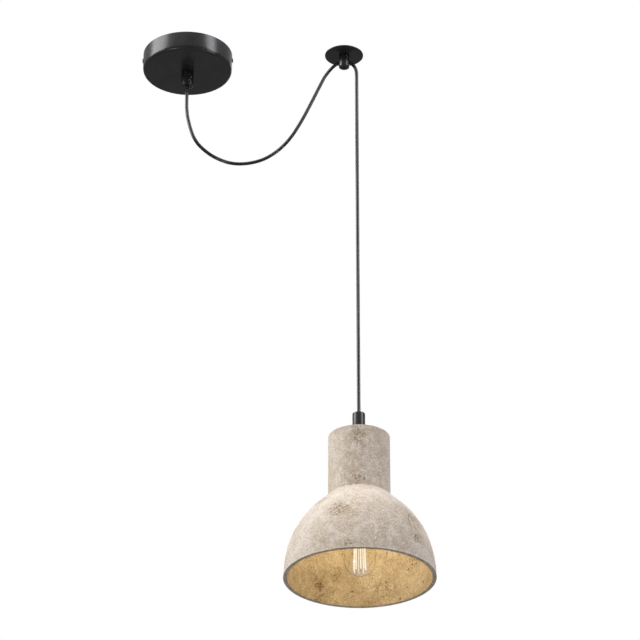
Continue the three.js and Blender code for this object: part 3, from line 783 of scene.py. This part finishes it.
def terminal_block(node):
    """Moulded block with two ways, four screw wells, a groove between the ways and a peg into the bracket."""
    low, high = box(node)
    inset = 5
    plan = rectangle(low.x, high.x, low.y, high.y, 1.2, 6)
    body = extrusion(plan, BLOCK_TOP - low.z, at(0, 0, low.z))
    cutters = [slab((low.x - 1, high.x + 1), (-1, 1), (low.z - 1, low.z + 3))]
    for y in (-WAY_Y, WAY_Y):
        way = at(low.x - 1, y, WAY_Z) @ turned(90, "Y")
        cutters.append(drill(1.6, high.x - low.x + 2, way))
        cutters += [plug(x, y, 2, low.z - 1, WAY_Z) for x in (low.x + inset, high.x - inset)]
    peg = rounded([(0, BLOCK_TOP), (2, BLOCK_TOP), (2, high.z, 0.4), (0, high.z)])
    return merged(carve(body, *cutters), lathe(peg, x=(low.x + high.x) / 2, segments=40))


def slotted_screw(node, head_r, head_t, shank_r, head_up=False):
    """A cheese-head screw on an upright axis, with its slot across the head and a fine thread."""
    low, high = box(node)
    x, y, length = (low.x + high.x) / 2, (low.y + high.y) / 2, high.z - low.z
    cheese = rounded([(0, 0), (head_r, 0, 0.3), (head_r, head_t, 0.1), (shank_r, head_t)], 3)
    outline = [*cheese, *rows(shank_r, head_t + 0.1, length, 0.1), (0, length)]
    body = lathe(outline, segments=36, swell=thread(head_t, length, 0.2, 0.6))
    mesh = carve(body, slab((-4, 4), (-0.3, 0.3), (-1, min(0.8, 0.6 * head_t))))
    mesh.transform(at(x, y, high.z) @ turned(180, "X") if head_up else at(x, y, low.z))
    return mesh


def nipple(node, x):
    """Threaded tube, with a pitch of 1 mm."""
    low, high = box(node)
    bore = 3.4
    outline = [(bore, low.z), *rows(NIPPLE_R, low.z, high.z, 0.1), (bore, high.z)]
    return lathe(outline, x=x, segments=60, swell=thread(low.z, high.z, 0.45, 1))


def hex_nut(node, x):
    """Hexagon nut with chamfered corners and countersunk ends. The cutters differ in how many sides they
    have, which keeps their edges apart and the mesh closed."""
    low, high = box(node)
    flats, clear = 14, 0.1
    half, wide, hole = flats / 2, flats / 2 + 3, FITTED_HOLE_R
    body = extrusion(hexagon(flats), high.z - low.z, at(x, 0, low.z))
    cutters = [plug(x, 0, hole, low.z - 1, high.z + 1)]
    for face, out in ((high.z, 1), (low.z, -1)):
        above, sunk = face + out * clear, face - out * 0.5
        chamfer = [(half - 0.35, above), (wide, above), (wide, face - out * 1.83)]
        sink = [(0, above), (hole + 0.55, above), (hole - 0.1, sunk), (0, sunk)]
        cutters += [lathe(chamfer, x=x, segments=80), lathe(sink, x=x, segments=50)]
    return carve(body, *cutters)


def flat_ring(node, x):
    """Washer on a nipple."""
    low, high, radius = round_box(node)
    return lathe(rectangle(NIPPLE_HOLE_R, radius, low.z, high.z, 0.3), x=x, segments=72)


def conductor(node, points):
    """A wire's sleeve along a smooth route."""
    return tube(smooth_path([Vector(point) for point in points], 0.5), 0.7)


def sheath_end(node):
    """The end of the cord's sheath, with rounded edges."""
    low, high = box(node)
    outline = [(0, low.z), (CORD_R, low.z, 0.4), (CORD_R, high.z, 0.4), (0, high.z)]
    return lathe(rounded(outline), x=(low.x + high.x) / 2, segments=40)


soften(make(mounting_bracket, "mounting_bracket"), 0.2)
soften(make(terminal_block, "terminal_block"), 0.2)
for number in range(1, 5):
    make(slotted_screw, f"terminal_screw_{number}", 1.6, 1.6, 1.35)
make(slotted_screw, "earth_screw", 3.6, 2.4, 1.7)
make(nipple, "canopy_nipple", 0)
make(hex_nut, "canopy_nut", 0)
start = -15.7  # just above the sheath's end
for name, side in (("wire_live_canopy", 1), ("wire_neutral_canopy", -1)):
    make(conductor, name, [
        (0, side * 0.85, start), (-0.6, side * 1.1, start + 2.6), (-3.4, side * 2.4, start + 6),
        (-8, side * WAY_Y, WAY_Z), (-15, side * WAY_Y, WAY_Z),
    ])
make(sheath_end, "cord_end_canopy")


# ------------------------ shade
SHADE_LOW, SHADE_HIGH = box("concrete_shade")
RIM_Z = SHADE_LOW.z
SHADE_WALL = 5
# The dome's outside, as (radius, height above the rim), the same as the CAD's.
DOME = [
    (95, 0), (94.5, 12.1), (93, 24), (90.6, 35.7), (87.1, 46.9), (82.8, 57.5), (77.5, 67.3),
    (71.5, 76.5), (64.7, 85.1), (57.2, 92.9), (49.1, 100.4), (43.2, 106), (39.35, 109.8),
]
# Clusters of brown pits: angle about the shade's axis in degrees (0 is towards +X, -90 towards the front),
# height above the rim, reach, and 1 for the outside or -1 for the inside.
PIT_CLUSTERS = [
    (-90, 176, 9, 1), (-93, 118, 10, 1), (-109, 60, 11, 1), (-41, 57, 12, 1), (-39, 30, 9, 1),
    (-98, 6, 5, 1), (20, 60, 15, 1), (75, 100, 12, 1), (118, 50, 16, 1), (150, 150, 10, 1),
    (178, 35, 14, 1), (220, 90, 12, 1), (124, 22, 10, -1), (68, 19, 12, -1), (110, 37, 6, -1),
    (123, 6, 7, -1), (35, 45, 10, -1), (160, 55, 12, -1), (-60, 40, 12, -1), (-120, 50, 12, -1),
]
# Broad brown zones of the outside, as (angle, height, reach).
BROWN_ZONES = [
    (-92, 186, 30), (-92, 160, 22), (-52, 155, 22), (-48, 125, 20), (-94, 128, 28), (-94, 55, 34),
    (-72, 20, 36), (-110, 20, 30), (-50, 50, 28), (60, 70, 35), (140, 30, 35), (190, 130, 25),
]


def dome_points(inset):
    """The dome's profile as a smooth curve from the rim to the neck, set in by a distance."""
    curve = smooth_path([Vector((r, 0, h)) for r, h in DOME], 2)
    out = []
    for i, point in enumerate(curve):
        along = (curve[min(i + 1, len(curve) - 1)] - curve[max(i - 1, 0)]).normalized()
        out.append((point.x - inset * along.z, point.z + inset * along.x))
    return out


def concrete_shade(node):
    """One casting: dome and neck, with uneven skin, sandy grain and pits cut into the mesh."""
    top, neck, neck_wall, plate = SHADE_HIGH.z, DOME[-1][0], 6, 8
    under, inner = top - plate, neck - neck_wall
    outside = [(r, RIM_Z + h) for r, h in dome_points(0)]
    inside = [(r, RIM_Z + h) for r, h in dome_points(SHADE_WALL) if h > 0 and r > inner]
    outline = [
        *outside, *rounded([(neck, top - 10), (neck, top, 0.9), (20, top)]),
        (NIPPLE_HOLE_R, top), (NIPPLE_HOLE_R, under),
        *rounded([(20, under), (inner, under, 3), (inner, under - 10)]),
        (inner, RIM_Z + (DOME[-1][1] - 1)), *reversed(inside), (SHADE_HIGH.y - SHADE_WALL, RIM_Z),
    ]
    return roughen(lathe(dense(outline, 2.0), x=DROP_X, segments=300))


def on_skin(angle, height, face=1):
    """A point on the outside or inside skin, at an angle in degrees and a height above the rim."""
    curve = dome_points(0 if face > 0 else SHADE_WALL)
    r = min(curve, key=lambda point: abs(point[1] - height))[0]
    a = math.radians(angle)
    return Vector((DROP_X + r * math.cos(a), r * math.sin(a), RIM_Z + height))


def patches(place, size, shift=(0, 0, 0)):
    """Fixed noise from -1 to 1 with patches about size across."""
    return noise.noise(place / size + Vector(shift))


def skin_marks_and_rim_shade(place, height, faces_in, clusters, zones):
    """How brown, stained and pitted the skin is at a place, each from 0 to 1. On the rim's flat underside,
    brown is painted shade and warm bounce light of a face that looks down.
    """
    # painted shade: the rim's flat underside (under 0.3 mm high) gets nearly full brown, for a face that
    # looks down and takes the bulb's warm bounce
    brown = 0.5 if faces_in else 0.95 if height < 0.3 else 0.0
    for centre, reach in zones:
        brown = max(brown, 1 - ((place - centre).length / reach) ** 2 / 2)
    stain = 0.0
    for centre, reach, face in clusters:
        if (face < 0) == faces_in:
            away = (place - centre).length / reach
            stain = max(stain, 1 - away * away / 3.2)
    stain = stain * (0.55 + 0.45 * patches(place, 6))
    stray_stain = max(0.0, patches(place, 28, (7, 3, 1)) - 0.38) * 1.2
    stain = min(1.0, stain + stray_stain)
    pit_level = patches(place, 1.7, (3, 9, 5)) - (0.62 - 0.55 * stain)
    pit = max(0.0, min(1.0, pit_level * 5)) * (0.15 + 0.85 * min(1, 2 * stain))
    return brown, stain, pit


def roughen(mesh):
    """Moves each vertex a little into the wall and records how brown, stained and pitted it is there."""
    wave_depth, grain_depth, pit_depth, smooth_rim = 0.30, 0.22, 0.6, 2
    clusters = [(on_skin(angle, height, face), reach, face) for angle, height, reach, face in PIT_CLUSTERS]
    zones = [(on_skin(angle, height), reach) for angle, height, reach in BROWN_ZONES]
    names = ("inside", "brown", "stain", "pit")
    layers = [mesh.attributes.new(name, "FLOAT", "POINT").data for name in names]
    moved = []
    for i, vertex in enumerate(mesh.vertices):
        place, normal = vertex.co / MM, vertex.normal
        height = place.z - RIM_Z
        axis_out = Vector((place.x - DROP_X, place.y, 0))
        faces_in = axis_out.dot(normal) < -0.02 * axis_out.length or (normal.z < -0.5 and height > 1.5)
        brown, stain, pit = skin_marks_and_rim_shade(place, height, faces_in, clusters, zones)
        waves = 0.5 + 0.5 * patches(place, 35)
        grain = 0.5 + 0.5 * patches(place, 4.2)
        depth = min(1.0, height / smooth_rim) * (wave_depth * waves + grain_depth * grain + pit_depth * pit)
        moved.append(place - normal * depth)
        for layer, value in zip(layers, (1.0 if faces_in else 0.0, brown, stain, pit)):
            layer[i].value = value
    for vertex, place in zip(mesh.vertices, moved):
        vertex.co = place * MM
    return mesh


make(concrete_shade, "concrete_shade")
make(cord_grip, "shade_cord_grip", DROP_X, False)
make(grub_screw, "shade_grip_screw")
for washer in ("shade_top_washer", "shade_seat_washer", "shade_clamp_washer"):
    make(flat_ring, washer, DROP_X)
make(flat_ring, "canopy_washer", 0)


# ------------------------ lampholder
def lampholder_cap(node):
    """Domed cap with a collar round the nipple."""
    low, high, radius = round_box(node)
    wall, ceiling = 2, high.z - 10
    outline = rounded([
        (FITTED_HOLE_R, high.z, 0.4), (9.6, high.z, 0.8), (10.6, high.z - 7.5, 1),
        (radius - 1, high.z - 8.5, 6), (radius, low.z, 0.4), (radius - wall, low.z, 0.3),
        (radius - wall - 1, ceiling, 4), (FITTED_HOLE_R, ceiling),
    ], 6)
    return lathe(outline, x=DROP_X)


def lampholder_body(node):
    """Straight body with fine grip ribs round its upper half and a rolled mouth."""
    low, high, radius = round_box(node)
    mouth_r, wall, rib_count, rib_depth, fading = 16.5, 2, 36, 0.35, 2
    rib_top, rib_bottom, skin = high.z - 2.5, high.z - 20, radius - 0.3
    outline = dense(rounded([
        (radius - 0.7, high.z, 0.3), (skin, rib_top + 1, 0.5), (skin, rib_bottom - 1),
        (skin, low.z + 4, 1), (radius, low.z + 2.5, 1), (radius - 0.4, low.z, 0.8),
        (mouth_r, low.z, 0.6), (mouth_r, low.z + 26), (skin - wall, low.z + 28),
        (skin - wall, high.z),
    ]), 1.5)

    def ribs(angle, r, z):
        if r < radius - 1 or not rib_bottom < z < rib_top:
            return 0
        fade = min(1, (rib_top - z) / fading, (z - rib_bottom) / fading)
        return -rib_depth * fade * (0.5 - 0.5 * math.cos(rib_count * angle))

    return lathe(outline, x=DROP_X, segments=288, swell=ribs)


def thread_shell(node):
    """Pressed brass shell with a rounded thread."""
    low, high, radius = round_box(node)
    step = 0.35
    outline = [*rows(radius, low.z, high.z, step), *rows(radius - 0.4, high.z, low.z, step)]
    return lathe(outline, x=DROP_X, segments=72, swell=edison_thread(low.z, high.z, 0.5))


def lampholder_insert(node):
    """Ceramic disc with rounded edges, two screw holes and a groove round it."""
    low, high, radius = round_box(node)
    screw_y, groove = 9.5, radius - 0.8
    outline = rounded([
        (0, low.z), (radius, low.z, 0.8), (radius, low.z + 4), (groove, low.z + 4.6),
        (groove, high.z - 3.6), (radius, high.z - 3), (radius, high.z, 0.8), (0, high.z),
    ])
    holes = [plug(DROP_X, side * screw_y, 1.7, high.z - 7, high.z + 1) for side in (-1, 1)]
    return carve(lathe(outline, x=DROP_X, segments=72), *holes)


def centre_contact(node):
    """Springy brass tongue, bent down in the middle."""
    low, high = box(node)
    outline = rounded([(u, high.z + v, 0.5) for u, v in (
        (-6, 0), (-6, -0.5), (-3.4, -0.6), (-1.6, -3.2), (1.6, -3.4), (2.2, -2.9), (-1.2, -2.6), (-2.9, 0))])
    return extrusion(outline, high.y - low.y, at(DROP_X, high.y, 0) @ FRONT)


make(lampholder_cap, "lampholder_cap")
make(lampholder_body, "lampholder_body")
make(thread_shell, "lampholder_thread_shell")
make(nipple, "shade_nipple", DROP_X)
make(hex_nut, "shade_nut", DROP_X)
make(lampholder_insert, "lampholder_insert")
make(centre_contact, "lampholder_centre_contact")
for name in ("holder_screw_live", "holder_screw_neutral"):
    make(slotted_screw, name, 2.6, 1.7, 1.4, True)
start = -599.3  # just below the sheath's end
for name, side in (("wire_live_holder", 1), ("wire_neutral_holder", -1)):
    places = ((0.85, start), (1.4, start - 3), (4.2, start - 6.4), (5.4, -609.7))
    make(conductor, name, [(DROP_X, side * y, z) for y, z in places])
make(sheath_end, "cord_end_holder")


# ------------------------ bulb
BULB_LOW, BULB_HIGH, BULB_R = round_box("bulb_glass")
# The glass's outside above its round end, as (radius, height), the same as the CAD's.
PEAR = [
    (12, -650.6), (12.3, -658), (13.4, -671), (15.6, -688),
    (18, -706), (19.5, -722), (20, -736), (20, -743.5),
]


def bulb_wall(inset):
    """One side of the glass, from the neck down to the tip, set in from the outer skin."""
    side = smooth_path([Vector((r, 0, z)) for r, z in PEAR], 2)
    round_end = arc(0, BULB_LOW.z + BULB_R, BULB_R - inset, 0, -90, 24)
    return [(min(p.x, BULB_R) - inset, p.z) for p in side[:-1]] + round_end[:-1] + [(0, round_end[-1][1])]


def bulb_glass(node):
    return lathe(bulb_wall(0) + bulb_wall(0.5)[::-1], x=DROP_X, segments=128)


def bulb_screw_cap(node):
    """Pressed metal cap with a rounded thread."""
    low, high, radius = round_box(node)
    neck, wall, step = 8.5, 0.45, 0.3
    thread_low, thread_high = low.z + 2.5, high.z - 3
    shoulder = rounded([(9, high.z), (radius - 0.3, high.z - 2, 1.5), (radius, high.z - 4)])[1:-1]
    outline = [
        (neck, high.z), *shoulder, *rows(radius, thread_high, thread_low, step), (radius, low.z),
        (radius - wall, low.z), *rows(radius - wall, thread_low, thread_high, step), (neck, high.z - wall),
    ]
    return lathe(outline, x=DROP_X, segments=72, swell=edison_thread(thread_low, thread_high, 0.8))


def bulb_insulator(node):
    """Glassy black cone between the cap and the tip contact."""
    low, high, radius = round_box(node)
    hole = 3.2
    outline = rounded([
        (hole, high.z, 0.3), (5.5, high.z - 0.2, 0.8), (radius, low.z, 0.3), (hole, low.z),
    ])
    return lathe(outline, x=DROP_X, segments=60)


def bulb_tip_contact(node):
    """Soldered dome at the top of the bulb's cap."""
    low, high, radius = round_box(node)
    height, steps = 1.3, 9
    angles = [math.radians(90 * k / steps) for k in range(steps)]
    dome = [(radius * math.cos(a), high.z - height + height * math.sin(a)) for a in angles]
    return lathe([(0, low.z), (radius, low.z), *dome, (0, high.z)], x=DROP_X, segments=48)


def bulb_stem(node):
    """Flared glass foot with a pinch, and a thin rod with a rounded tip."""
    low, high = box(node)
    rod = 1.4
    foot = rounded([
        (0, high.z), (8.5, high.z, 0.6), (7.6, high.z - 2.5, 2),
        (3.4, high.z - 11, 6), (rod, high.z - 15, 4), (rod, low.z + 2),
    ], 6)
    tip = arc(0, low.z + rod, rod, 0, -90, 6)[:-1]
    return lathe([*foot, *tip, (0, low.z)], x=DROP_X, segments=48)


def support_ring(node):
    """A wire hoop on spokes that meet a small hub on the glass rod."""
    low, high = box(node)
    wire, spoke_r, spokes = 0.24, 0.18, 3
    z, radius = (low.z + high.z) / 2, (high.y - low.y) / 2 - wire
    hoop = lathe(arc(radius, z, wire, 0, 345, 23), x=DROP_X, segments=72)
    hub = lathe(rectangle(1.6, 2.1, z - 0.4, z + 0.4, 0.2), x=DROP_X, segments=32)
    middle = Vector((DROP_X, 0, z))
    arms = []
    for k in range(spokes):
        out = Vector((math.cos(2 * math.pi * k / spokes), math.sin(2 * math.pi * k / spokes), 0))
        arms.append(tube([middle + out * 2, middle + out * radius], spoke_r, 12))
    return merged(hoop, hub, *arms)


def filament(node):
    """A slim strip with rounded corners, between the middles of its CAD strip's ends."""
    places = [vertex.co / MM for vertex in frame["nodes"][node].data.vertices]
    heights = [place.z for place in places]
    middle = (max(heights) + min(heights)) / 2
    upper = [place for place in places if place.z > middle]
    lower = [place for place in places if place.z <= middle]
    top, bottom = sum(upper, Vector()) / len(upper), sum(lower, Vector()) / len(lower)
    down = (bottom - top).normalized()
    out = Vector((bottom.x - DROP_X, bottom.y, 0))
    out = (out - down * out.dot(down)).normalized()
    across = down.cross(out)
    thick, wide = 0.45, 0.72
    outline = rectangle(-thick, thick, -wide, wide, 0.42, 5)
    turn = Matrix((out, across, down)).transposed().to_4x4()
    return extrusion(outline, (bottom - top).length, at(*top) @ turn)


make(bulb_glass, "bulb_glass").visible_shadow = False
make(bulb_screw_cap, "bulb_screw_cap")
make(bulb_insulator, "bulb_insulator")
make(bulb_tip_contact, "bulb_tip_contact")
make(bulb_stem, "bulb_stem").visible_shadow = False
make(support_ring, "bulb_upper_ring")
make(support_ring, "bulb_lower_ring")
for strip in sorted(node for node in frame["nodes"] if node.startswith("bulb_filament_")):
    make(filament, strip)


# ------------------------ stage
def area_light(name, place, target, size, power, colour=(1, 1, 1), spread=180):
    data = bpy.data.lights.new(name, "AREA")
    data.shape = "RECTANGLE"
    data.size, data.size_y = size
    data.energy = power
    data.color = colour
    data.spread = math.radians(spread)
    lamp = in_scene(name, data)
    lamp.location = place
    lamp.rotation_euler = (Vector(target) - Vector(place)).to_track_quat("-Z", "Y").to_euler()


def bulb_glow():
    """The filament's light, a small ball in the middle of the bulb."""
    data = bpy.data.lights.new("glow", "POINT")
    data.energy = 0.215
    data.color = (1.0, 0.84, 0.52)
    data.shadow_soft_size = 0.012
    lamp = in_scene("glow", data)
    lamp.location = (BULB_LOW + BULB_HIGH) / 2 * MM
    lamp.visible_transmission = False
    lamp.visible_glossy = False
    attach(lamp, "bulb")


def stage_floor():
    """White floor far below, which doesn't light the lamp."""
    half, z = 40.0, -2.6
    corners = [(-half, -half, z), (half, -half, z), (half, half, z), (-half, half, z)]
    mesh = bpy.data.meshes.new("floor")
    mesh.from_pydata(corners, [], [(0, 1, 2, 3)])
    floor = in_scene("floor", mesh)
    p = Paint(Roughness=0.9)
    p.set(Base_Color=p.mix(p.noise(0.4, 3), (0.86, 0.86, 0.85), (0.88, 0.88, 0.875)))
    p.set(Emission_Color=(0.9, 0.9, 0.89, 1), Emission_Strength=0.3)
    mesh.materials.append(p.material)
    floor.visible_diffuse = False
    floor.visible_glossy = False


def studio_world():
    """White to look at; as light, strongest from above, weakest level with the lamp."""
    world = bpy.data.worlds.new("studio")
    world.use_nodes = True
    bpy.context.scene.world = world
    w = Nodes(world.node_tree)
    direction = w.node("ShaderNodeTexCoord").outputs["Generated"]
    height = w.node("ShaderNodeSeparateXYZ", Vector=direction).outputs["Z"]
    from_above = w.between(height, 0.1, 0.95, 0.15, 0.62)
    from_below = w.between(height, -0.7, 0.0, 0.12, 0.0)
    light = w.math("ADD", from_above, from_below)
    seen = w.node("ShaderNodeLightPath").outputs["Is Camera Ray"]
    background = w.tree.nodes["Background"]
    w.feed(background.inputs["Strength"], w.node("ShaderNodeMix", i0=seen, i2=light, i3=1.0).outputs[0])
    background.inputs["Color"].default_value = (1, 1, 1, 1)


stage_floor()
studio_world()
MIDDLE = (0.12, 0, -0.35)
area_light("key", (-2.7, -0.6, 1.3), (0.2, 0, -0.6), (2.2, 2.2), 92)
area_light("top", (-0.6, -1.0, 2.4), (0.228, 0, -0.6), (1.6, 1.6), 29)
area_light("right", (2.4, -1.2, 1.2), MIDDLE, (1.0, 2.6), 53, (0.97, 0.95, 1.0))
area_light("low_left", (-1.2, -1.6, -1.6), (0.228, 0, -0.7), (0.4, 0.4), 8, (1.0, 0.97, 0.92))
area_light("edge", (2.13, -1.05, -1.26), (0, 0, 0), (0.6, 0.3), 0.12, spread=11)
area_light("back", (0.6, 2.4, 0.8), MIDDLE, (2.0, 1.2), 18)
bulb_glow()

bpy.context.scene.view_settings.view_transform = "Standard"
